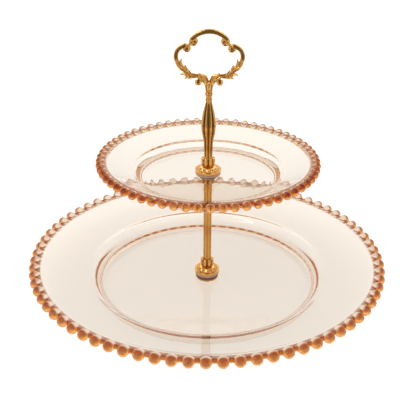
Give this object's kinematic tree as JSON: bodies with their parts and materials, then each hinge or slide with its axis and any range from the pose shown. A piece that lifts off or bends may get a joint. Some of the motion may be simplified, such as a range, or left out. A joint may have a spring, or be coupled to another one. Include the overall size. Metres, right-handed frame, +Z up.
{
  "type": "two-tier cake stand",
  "caption": "Two-tier serving stand: round glass plates with beaded rims on a slim fluted column, topped by a scrolled ring handle that unscrews.",
  "frame": {"origin": "centre of the lower plate's foot ring, on the table", "axes": "+Z up along the column; the handle ring lies in the XZ plane; -Y is the front; a lower bead is centred on -Y"},
  "size_m": [0.3316, 0.3316, 0.2461],
  "materials": {
    "glass": "clear pressed glass, pale champagne to amber, glossy",
    "gasket": "soft, translucent, slightly pink",
    "gold_cast": "polished gold plating on castings",
    "steel": "bright screw thread"
  },
  "bodies": {
    "base": {"lower_plate": "glass", "lower_plate_top_gasket": "gasket", "lower_plate_bottom_gasket": "gasket"},
    "column": {"base_washer": "gold_cast", "base_screw": "steel", "lower_flange": "gold_cast", "lower_collar": "gold_cast", "lower_post": "gold_cast", "under_collar": "gold_cast", "middle_stud": "steel", "upper_flange": "gold_cast", "upper_collar": "gold_cast", "upper_post": "gold_cast"},
    "upper_tier": {"upper_plate": "glass", "upper_plate_top_gasket": "gasket", "upper_plate_bottom_gasket": "gasket"},
    "captive_ring": {"captive_ring": "gold_cast"},
    "handle": {"handle": "gold_cast", "handle_stud": "steel"}
  },
  "joints": [
    {"name": "column_turn", "type": "hinge", "parent": "base", "child": "column", "pos_m": [0, 0, 0.0105], "axis": [0, 0, 1], "continuous": true},
    {"name": "upper_tier_turn", "type": "hinge", "parent": "column", "child": "upper_tier", "pos_m": [0, 0, 0.1144], "axis": [0, 0, 1], "continuous": true},
    {"name": "handle_rise", "type": "slide", "parent": "column", "child": "captive_ring", "axis": [0, 0, 1], "range_m": [0, 0.0075]},
    {"name": "handle_turn", "type": "hinge", "parent": "captive_ring", "child": "handle", "pos_m": [0, 0, 0.1916], "axis": [0, 0, 1], "range_deg": [0, 5130]}
  ],
  "couplings": [
    {"joint": "handle_rise", "follows": "handle_turn", "m_per_rad": 0.000079577}
  ]
}
